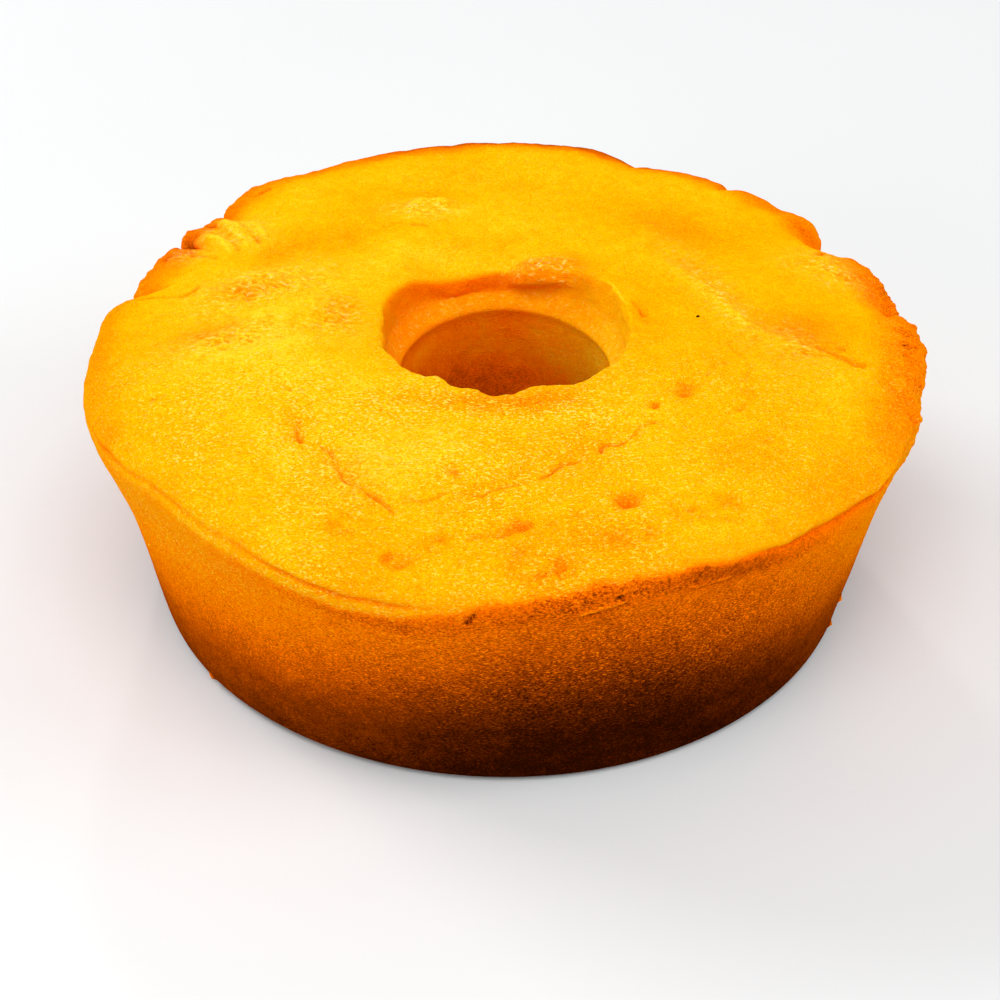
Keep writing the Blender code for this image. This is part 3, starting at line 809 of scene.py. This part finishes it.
# Sectors that are speckled or grainy: middle and half-width in degrees.
SPECKLED_FRONT = (285.0, 27.0)
SPECKLED_RIGHT = (-2.0, 16.0)
FLECKED_RIGHT = (8.0, 30.0)
# Where each of these begins and is full: heights or radii.
BROWN_RIM_RADII = (93.0 * MM, 107.0 * MM)
WALL_BACK_HEIGHTS = (30.0 * MM, 66.0 * MM)
TUBE_HEIGHTS = (5.0 * MM, 60.0 * MM)
UNDERSIDE_RADII = (88.0 * MM, 92.0 * MM)
SPECKLED_RADII = (97.0 * MM, 103.0 * MM)
SPECKLED_HEIGHTS = (62.0 * MM, 68.0 * MM)
FLECKED_RADII = (98.0 * MM, 106.0 * MM)
FLECKED_WALL_HEIGHTS = (14.0 * MM, 48.0 * MM)
FLECKED_TOP_HEIGHTS = (58.0 * MM, 70.0 * MM)
# The plain top, its edge, the underside, the hole's wall and how much darker it is towards its foot.
TOP_TONE = 0.14
RIM_TONE = 0.08
UNDERSIDE_TONE = 0.78
TUBE_TONE = 0.44
TUBE_FOOT_TONE = 0.38
FUNNEL_TONE = 0.22
# Painted light and shade: how much paler the crust is painted for each mm that it stands out, darker where
# it sinks, and paler on its wrinkles' crests and darker between them.
PAINTED_LIGHT_BY_RISE = 0.055
PAINTED_WRINKLE_LIGHT = 0.22
# Waves of the tube's mottling, of the speckles and of the grainy patches.
TUBE_MOTTLE_WAVE = 14.0 * MM
SPECKLE_WAVE = 7.0 * MM
FLECK_PATCH_WAVE = 22.0 * MM
# Broad tones of the top, partly uneven browning and partly painted shade over its hollows: (x, y,
# half-length, half-width in mm, turned by degrees, darkening).
TONES = (
    (-2, -40.5, 22, 5.5, 0, 0.24),
    (15, -36, 10, 4, 25, 0.1),
    (-60, 38, 14, 6, 35, 0.07),
    (-45, 44, 12, 5, 20, 0.03),
    (-75, 12, 9, 5, 20, 0.14),
    (-43, 4, 6, 8, 0, 0.06),
    (-76, -9, 13, 6, 15, 0.12),
    (52, 50, 20, 10, 140, 0.07),
    (80, -4, 12, 9, 0, 0.15),
    (58, 9, 5, 24, 22, 0.03),
    (-66, 12, 14, 7, 30, 0.05),
    (-22, 66, 10, 4, 0, 0.07),
    (-100, -47, 3, 5, 35, 0.1),
    (-90, -58, 6, 14, 35, -0.06),
    (-51, -59, 12, 14, 0, -0.07),
    (-38.5, -30.5, 5, 8, 45, -0.06),
    (-14, 36, 16, 4.5, 0, -0.08),
    (17, -95.5, 18, 6, 0, 0.09),
    (50, -92, 14, 7, 20, -0.09),
    (60, -64, 11, 9, 0, 0.08),
    (-51, -92, 10, 7, -20, -0.07),
    (12, -67, 10, 4, 20, -0.06),
    (88, -50, 8, 16, 30, -0.06),
    (-87, 31, 6, 7, 0, 0.07),
    (84, 56.5, 6, 5, -50, 0.14),
    (-64, 77, 14, 6, 40, 0.02),
    (-84, 42, 5, 6, 50, 0.07),
    (23, -96, 6, 4, 0, 0.05),
    (-60, -15, 32, 50, 0, -0.075),
    (-38, 30, 12, 7, 20, -0.06),
    (-20, -60, 22, 14, 20, -0.03),
    (36.5, -1, 5.5, 20, 0, 0.08),
    (-46, 4, 6, 10, 0, 0.07),
    (20, 31, 8, 4, -40, 0.16),
    (8.5, 29.5, 7.5, 4.5, -5, 0.2),
)
# Speckled corners of the back lobes: (x, y, half-length, half-width in mm, turned by degrees).
SPECKLED = (
    (-90.5, 50, 4, 3, 0),
    (84, 55.5, 6, 4, -50),
)
# The grainiest patch, in front of the hole, in the same terms.
FLECKED_PATCH = (-2, -42, 28, 9, 0)


def top_tone(points):
    """How dark the top is, without its edge: browning, with painted light on its rises and wrinkle crests
    and painted shade in its hollows, creases and pits.
    """
    x, y = wobbled(points, CREASE_WOBBLE, CREASE_WOBBLE_WAVE)
    tone = np.full(len(x), TOP_TONE)
    for *oval, change in TONES:
        # Partly uneven browning and partly painted shade over the hollows.
        tone += change * patch(x, y, *oval)
    # Painted light and shade: paler where the crust stands out, darker where it sinks, and the same along
    # the wrinkles.
    tone -= PAINTED_LIGHT_BY_RISE * np.clip(top_relief(points) / MM, -2.5, 2.0)
    tone -= PAINTED_WRINKLE_LIGHT * wrinkle_share(points) * wrinkle_ridges(points)
    return tone + marks(points, x, y)[1]


def sector(angle, middle, half_width, browning):
    """That much browning in the middle of a sector, and none well away from it."""
    return browning * around(angle, middle, half_width)


def edge_tone(angle, radius):
    """How much more the top browns towards its edge."""
    side = np.maximum(sector(angle, *RIM_RIGHT), sector(angle, *RIM_BACK))
    more = RIM_TONE + side + sector(angle, *RIM_LOBES) + sector(angle, *RIM_FRONT)
    left = sector(angle, *RIM_LEFT) * smooth_step(*FINE_RIM_RADII, radius)
    return smooth_step(*BROWN_RIM_RADII, radius) * more + left


def side_tone(points, angle, z):
    """How dark the side is, by height, and more in front and under the back rim: browning, with painted
    shade that darkens it towards the foot and round the front.
    """
    # Browning and painted shade together: darker towards the foot and round the front.
    heights, levels = np.array(WALL_BROWNING_AND_SHADE).T
    more = np.interp(z / MM, *np.array(FRONT_BROWNING_AND_SHADE).T)
    front = around(angle, FRONT_ANGLE, FRONT_SPREAD)
    behind = sector(angle, *WALL_BACK) * smooth_step(*WALL_BACK_HEIGHTS, z)
    return np.interp(z / MM, heights, levels) + more * front + behind + side_marks(points)[1]


def hole_tone(points, angle, z, source_z):
    """How dark the tube's print and the funnel above it are: browning, darker towards the tube's foot, with
    painted light on their right sides and painted shade on the funnel's left and under the back of its lip.
    """
    tube = TUBE_TONE + TUBE_FOOT_TONE * (1.0 - smooth_step(*TUBE_HEIGHTS, z))
    # Painted light on the right of the tube.
    tube = tube + sector(angle, *TUBE_PAINTED_LIGHT)
    tube = tube + 0.14 * wave(points * (1.0, 1.0, 1.5), TUBE_MOTTLE_WAVE, 4)
    up = smooth_step(THROAT_HEIGHT + 2.0 * MM, CAKE_HEIGHT - 6.0 * MM, source_z)
    # Painted shade on the funnel high at the back under the lip and on its left, painted light on its right.
    funnel = FUNNEL_TONE + sector(angle, *FUNNEL_PAINTED_SHADE_BACK) * up
    funnel = funnel + sector(angle, *FUNNEL_PAINTED_SHADE_LEFT) + sector(angle, *FUNNEL_PAINTED_LIGHT)
    above = smooth_step(THROAT_HEIGHT - 1.0 * MM, THROAT_HEIGHT + 1.0 * MM, source_z)
    return tube + (funnel - tube) * above


def browning_and_painted_light(source, points):
    """How dark the crust is at each point, 0 pale yellow to 1 near black: its browning, with painted light
    and shade.
    """
    angle, _, z = polar(points)
    source_angle, source_radius, source_z = polar(source)
    line = round_the_rim(source_angle, EDGE_LINE) - round_the_rim(source_angle, ROLL)
    line = line + 0.8 * wave(flattened(points), EDGE_WAVE)
    on_top = smooth_step(-1.4, 0.8, source_z / MM - line)
    top = top_tone(points) + edge_tone(angle, source_radius)
    outer = side_tone(points, angle, z) * (1.0 - on_top) + top * on_top + edge_painted_shade(source, points)
    mouth = smooth_step(CAKE_HEIGHT - 3.4 * MM, CAKE_HEIGHT - 1.6 * MM, source_z)
    inner = hole_tone(points, angle, z, source_z) * (1.0 - mouth) + top * mouth
    level = np.where(source_radius < HOLE_REACH, inner, outer)
    base = (1.0 - smooth_step(*UNDERSIDE_RADII, source_radius)) * (source_z < 2.0 * MM)
    return np.clip(level * (1.0 - base) + UNDERSIDE_TONE * base, 0.0, 1.0)


def speckle_share(source, points):
    """Where the crust is speckled with dark brown: under the front edge and on lobes of the rim."""
    angle, radius, z = polar(points)
    source_angle, _, source_z = polar(source)
    below = round_the_rim(source_angle, EDGE_LINE) - source_z / MM
    band = smooth_step(-0.6, 0.6, below) * (1.0 - smooth_step(4.5, 7.0, below))
    band = band * around(angle, *SPECKLED_FRONT) * (radius > 90.0 * MM)
    lobes = around(angle, *SPECKLED_RIGHT) * smooth_step(*SPECKLED_RADII, radius)
    for oval in SPECKLED:
        lobes = lobes + 0.7 * patch(points[:, 0], points[:, 1], *oval)
    lobes = lobes * smooth_step(*SPECKLED_HEIGHTS, z)
    return np.clip(band + 1.6 * lobes * smooth_step(-0.1, 0.3, wave(points, SPECKLE_WAVE)), 0.0, 1.6)


def grain_and_glint_share(points):
    """How grainy the crust is, and where pale flecks are painted on it as glints: on the top in patches and
    more towards the front, and high on the side.
    """
    angle, radius, z = polar(points)
    x, y = points[:, 0], points[:, 1]
    front = 0.15 + 0.85 * smooth_step(-5.0 * MM, 42.0 * MM, -y)
    front = front * (1.0 - 0.55 * smooth_step(10.0 * MM, 60.0 * MM, x))
    before_hole = patch(x, y, *FLECKED_PATCH)
    lobes = around(angle, *FLECKED_RIGHT) + 0.7 * around(angle, *FINE_LEFT_CRAGS)
    lobes = smooth_step(*FLECKED_RADII, radius) * lobes
    patchy = 0.4 + 0.6 * smooth_step(-0.45, 0.45, wave(flattened(points) + 0.5, FLECK_PATCH_WAVE, 4))
    top = 0.6 * lobes + 1.1 * before_hole + front * patchy
    side = 0.3 + 0.95 * smooth_step(*FLECKED_WALL_HEIGHTS, z)
    side = np.where(radius < HOLE_REACH, 0.4, side)
    on_top = smooth_step(*FLECKED_TOP_HEIGHTS, z)
    # Painted glints follow this share as well as the grain.
    return top * on_top + side * (1.0 - on_top)


def add_attribute(mesh, name, values):
    """Gives the mesh a number at each point, which the material reads."""
    layer = mesh.attributes.new(name, "FLOAT", "POINT")
    layer.data.foreach_set("value", values.astype(np.float32))


# --- Materials ---


class Nodes:
    """A short way to add and join shader nodes."""

    def __init__(self, material):
        material.use_nodes = True
        self.tree = material.node_tree
        self.shader = self.tree.nodes["Principled BSDF"]

    def add(self, kind, inputs=(), **settings):
        node = self.tree.nodes.new(kind)
        for key, value in settings.items():
            setattr(node, key, value)
        for socket, value in dict(inputs).items():
            self.join(node.inputs[socket], value)
        return node

    def join(self, socket, value):
        if isinstance(value, bpy.types.NodeSocket):
            self.tree.links.new(value, socket)
        else:
            socket.default_value = value

    def math(self, operation, first, second=0.0, clamp=False):
        node = self.add("ShaderNodeMath", {0: first, 1: second}, operation=operation, use_clamp=clamp)
        return node.outputs[0]

    def plus(self, first, second):
        return self.math("ADD", first, second)

    def minus(self, first, second):
        return self.math("SUBTRACT", first, second)

    def times(self, first, second):
        return self.math("MULTIPLY", first, second)

    def past(self, value, threshold, gain):
        """How far the value is past a threshold, times the gain, kept from 0 to 1."""
        return self.math("MULTIPLY", self.minus(value, threshold), gain, clamp=True)

    def attribute(self, name):
        return self.add("ShaderNodeAttribute", attribute_name=name).outputs["Fac"]

    def stretched(self, place, stretch):
        return self.add("ShaderNodeVectorMath", {0: place, 1: stretch}, operation="MULTIPLY").outputs[0]

    def noise(self, vector, scale, detail=2.0, roughness=0.5):
        values = {"Vector": vector, "Scale": scale, "Detail": detail, "Roughness": roughness}
        return self.add("ShaderNodeTexNoise", values).outputs["Fac"]

    def ramp(self, factor, stops):
        node = self.add("ShaderNodeValToRGB", {"Fac": factor})
        elements = node.color_ramp.elements
        while len(elements) < len(stops):
            elements.new(0.5)
        for element, (position, colour) in zip(elements, stops):
            element.position = position
            element.color = (*colour, 1.0)
        return node.outputs["Color"]

    def centred(self, value, amount):
        """A 0 to 1 value as plus or minus half the amount."""
        return self.times(self.minus(value, 0.5), amount)


# Colours of the crust from pale to burnt, by bake level, linear.
CRUST_COLOURS = (
    (0.00, (1.0, 0.58, 0.012)),
    (0.05, (1.0, 0.50, 0.003)),
    (0.10, (1.0, 0.44, 0.001)),
    (0.17, (1.0, 0.38, 0.0)),
    (0.28, (1.0, 0.295, 0.0)),
    (0.38, (1.0, 0.23, 0.0)),
    (0.50, (0.96, 0.165, 0.0)),
    (0.62, (0.62, 0.098, 0.0)),
    (0.70, (0.42, 0.060, 0.0)),
    (0.78, (0.25, 0.036, 0.0)),
    (0.86, (0.135, 0.018, 0.0)),
    (0.93, (0.065, 0.008, 0.0)),
    (1.00, (0.022, 0.003, 0.0)),
)
# The colour of the painted glints, where wrinkles and grains would catch the light.
PAINTED_GLINT_COLOUR = (1.0, 0.65, 0.16, 1.0)
# A single burnt speck on the top.
CHAR_SPECK = (0.0515, 0.0012, 0.079)
CHAR_RADIUS = 0.7 * MM
# Scales of the crust's noises, and how its grain and its ripples are drawn out.
PATCH_SCALE = 45.0
MOTTLE_SCALE = 260.0
RIPPLE_SCALE = 800.0
SPECK_SCALE = 1100.0
FLECK_SCALE = 1150.0
GRAIN_SCALE = 1800.0
GRAIN_STRETCH = (0.8, 1.2, 2.0)
RIPPLE_STRETCH = (0.6, 1.4, 1.4)


def crust_level(nodes, place):
    """The bake level with its patches, mottling, grain, pale flecks (painted glints) and dark specks, the
    painted glints on it, and the noises that also make the bump and the sheen."""
    bake = nodes.attribute("bake")
    wrinkled = nodes.attribute("wrinkled")
    speckled = nodes.attribute("speckled")
    flecked = nodes.attribute("flecked")
    lying = nodes.stretched(place, GRAIN_STRETCH)
    patches = nodes.noise(place, PATCH_SCALE, 3.0)
    mottle = nodes.noise(place, MOTTLE_SCALE, 3.0, 0.6)
    grain = nodes.noise(lying, GRAIN_SCALE, 2.0, 0.6)
    ripple = nodes.noise(nodes.stretched(place, RIPPLE_STRETCH), RIPPLE_SCALE, 3.0, 0.6)
    flecks = nodes.times(nodes.past(nodes.noise(lying, FLECK_SCALE, 2.0, 0.6), 0.56, 9.0), flecked)
    specks = nodes.past(nodes.noise(place, SPECK_SCALE, 4.0, 0.7), 0.46, 4.0)
    level = nodes.plus(bake, nodes.centred(patches, 0.12))
    level = nodes.plus(level, nodes.centred(mottle, 0.17))
    strength = nodes.plus(0.3, nodes.times(flecked, 0.5))
    level = nodes.plus(level, nodes.times(nodes.centred(grain, 1.0), strength))
    # Painted glints: the flecks make the crust paler.
    level = nodes.minus(level, nodes.times(flecks, 0.22))
    # Painted light and shade on the wrinkles: paler on the ripples' crests, darker between them.
    level = nodes.minus(level, nodes.times(nodes.centred(ripple, 0.7), wrinkled))
    level = nodes.plus(level, nodes.times(nodes.times(specks, speckled), 0.26))
    away = nodes.add("ShaderNodeVectorMath", {0: place, 1: CHAR_SPECK}, operation="DISTANCE")
    charred = nodes.math("LESS_THAN", away.outputs["Value"], CHAR_RADIUS)
    level = nodes.math("ADD", level, charred, clamp=True)
    # Painted glints: pale strokes along the wrinkles' ripples and pale grains on the paler crust.
    wrinkle_glints = nodes.times(nodes.times(nodes.past(ripple, 0.57, 12.0), wrinkled), 0.9)
    paleness = nodes.math("SUBTRACT", 1.0, nodes.times(bake, 2.2), clamp=True)
    grains = nodes.math("MULTIPLY", nodes.times(flecks, paleness), 0.8, clamp=True)
    return level, nodes.math("MAXIMUM", wrinkle_glints, grains), mottle, grain, ripple, wrinkled


def crust_material():
    """Baked crust: its colour by bake level, painted glints on wrinkles and grains, a little light through
    it.
    """
    material = bpy.data.materials.new("baked_crust")
    nodes = Nodes(material)
    place = nodes.add("ShaderNodeTexCoord").outputs["Object"]
    level, glints, mottle, grain, ripple, wrinkled = crust_level(nodes, place)
    baked = nodes.ramp(level, CRUST_COLOURS)
    # Painted glints: the glint colour mixed over the baked colour.
    painted_glint_inputs = {0: glints, 6: baked, 7: PAINTED_GLINT_COLOUR}
    colour = nodes.add("ShaderNodeMix", painted_glint_inputs, data_type="RGBA").outputs[2]
    nodes.join(nodes.shader.inputs["Base Color"], colour)
    rough = nodes.plus(0.55, nodes.centred(mottle, 0.25))
    rough = nodes.minus(rough, nodes.times(wrinkled, 0.3))
    nodes.join(nodes.shader.inputs["Roughness"], rough)
    nodes.join(nodes.shader.inputs["Specular IOR Level"], nodes.times(wrinkled, 0.05))
    nodes.shader.inputs["Specular Tint"].default_value = (1.0, 0.8, 0.3, 1.0)
    nodes.shader.inputs["Subsurface Weight"].default_value = 0.45
    nodes.shader.inputs["Subsurface Radius"].default_value = (1.0, 0.3, 0.05)
    nodes.shader.inputs["Subsurface Scale"].default_value = 4.0 * MM
    grain_share = nodes.minus(0.6, nodes.times(wrinkled, 0.45))
    height = nodes.plus(nodes.times(mottle, 0.8), nodes.times(grain, grain_share))
    height = nodes.plus(height, nodes.times(ripple, nodes.times(wrinkled, 1.2)))
    bump = nodes.add("ShaderNodeBump", {"Height": height, "Distance": MM, "Strength": 1.0})
    nodes.join(nodes.shader.inputs["Normal"], bump.outputs["Normal"])
    return material


# The floor's two greys, linear.
FLOOR_COLOURS = (
    (0.3, (0.685, 0.697, 0.70)),
    (0.7, (0.705, 0.717, 0.72)),
)


def floor_material():
    """A plain pale floor."""
    material = bpy.data.materials.new("pale_floor")
    nodes = Nodes(material)
    place = nodes.add("ShaderNodeTexCoord").outputs["Object"]
    tone = nodes.ramp(nodes.noise(place, 3.0), FLOOR_COLOURS)
    nodes.join(nodes.shader.inputs["Base Color"], tone)
    nodes.shader.inputs["Roughness"].default_value = 0.8
    return material


# --- Pieces ---


def corn_crust():
    """The whole cake as one closed skin, finer than the solid that it replaces."""
    mesh = turned_ring("corn_crust", cake_section(), RING_STEPS)
    source = mesh_points(mesh)
    set_points(mesh, shaped(source))
    outward(mesh)
    mesh.update()
    displaced(mesh, source)
    points = mesh_points(mesh)
    # The bake level holds painted light and shade as well as browning.
    add_attribute(mesh, "bake", browning_and_painted_light(source, points))
    add_attribute(mesh, "wrinkled", gloss_and_glint_share(source, points))
    add_attribute(mesh, "speckled", speckle_share(source, points))
    add_attribute(mesh, "flecked", grain_and_glint_share(points))
    crust = bpy.data.objects.new("corn_crust_fine", mesh)
    bpy.context.scene.collection.objects.link(crust)
    thin = crust.modifiers.new("Thin", "DECIMATE")
    thin.ratio = KEPT_TRIANGLES / (2 * len(mesh.polygons))
    thin.use_collapse_triangulate = True
    kept = evaluated_mesh(crust, "corn_crust")
    crust.modifiers.clear()
    crust.data = kept
    kept.shade_smooth()
    kept.materials.clear()
    kept.materials.append(crust_material())
    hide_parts("corn_cake")
    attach(crust, "root")
    return crust


# The floor runs past every view, and lies just under the base.
FLOOR_SIZE = 24.0
FLOOR_GAP = 0.2 * MM


def floor():
    bpy.ops.mesh.primitive_plane_add(size=FLOOR_SIZE, location=(0.0, 0.0, -FLOOR_GAP))
    plane = bpy.context.object
    plane.name = "pale_floor"
    plane.data.materials.append(floor_material())


def camera():
    """The camera, on the photograph's line of sight."""
    elevation = math.radians(VIEW_ELEVATION)
    place = Vector((0.0, -math.cos(elevation), math.sin(elevation))) * VIEW_DISTANCE
    data = bpy.data.cameras.new("view")
    data.sensor_width = SENSOR_WIDTH
    data.lens = FOCAL_LENGTH
    eye = bpy.data.objects.new("view", data)
    eye.location = place
    eye.rotation_mode = "QUATERNION"
    aim = (Vector(VIEW_TARGET) - place).to_track_quat("-Z", "Y")
    eye.rotation_quaternion = aim @ Quaternion((0.0, 0.0, 1.0), math.radians(VIEW_ROLL))
    bpy.context.scene.collection.objects.link(eye)
    bpy.context.scene.camera = eye


# The lights: (name, place and size in metres, power in watts). All look at the cake's middle.
LIGHTS = (
    ("key", (-1.55, 0.85, 1.15), (0.9, 0.7), 20.0),
    ("over", (0.1, -0.95, 1.75), (1.6, 1.4), 23.0),
    ("front", (-1.35, -1.6, 0.8), (1.2, 0.8), 11.5),
    ("right", (1.9, -0.3, 1.1), (1.2, 0.9), 15.5),
    ("back", (-0.3, 1.9, 1.35), (0.16, 0.14), 5.0),
)
LIT_POINT = (0.0, 0.0, 0.05)
SURROUND_STRENGTH = 0.46


def soft_light(name, place, size, power):
    data = bpy.data.lights.new(name, "AREA")
    data.shape = "RECTANGLE"
    data.size, data.size_y = size
    data.energy = power
    light = bpy.data.objects.new(name, data)
    light.location = place
    light.rotation_euler = (Vector(LIT_POINT) - Vector(place)).to_track_quat("-Z", "Y").to_euler()
    bpy.context.scene.collection.objects.link(light)


def studio():
    """Soft lamps all round, and an even white surround."""
    for light in LIGHTS:
        soft_light(*light)
    world = bpy.data.worlds.new("studio")
    world.use_nodes = True
    surround = world.node_tree.nodes["Background"]
    surround.inputs["Color"].default_value = (1.0, 1.0, 1.0, 1.0)
    surround.inputs["Strength"].default_value = SURROUND_STRENGTH
    bpy.context.scene.world = world
    bpy.context.scene.view_settings.view_transform = "Standard"


camera()
studio()
floor()
corn_crust()
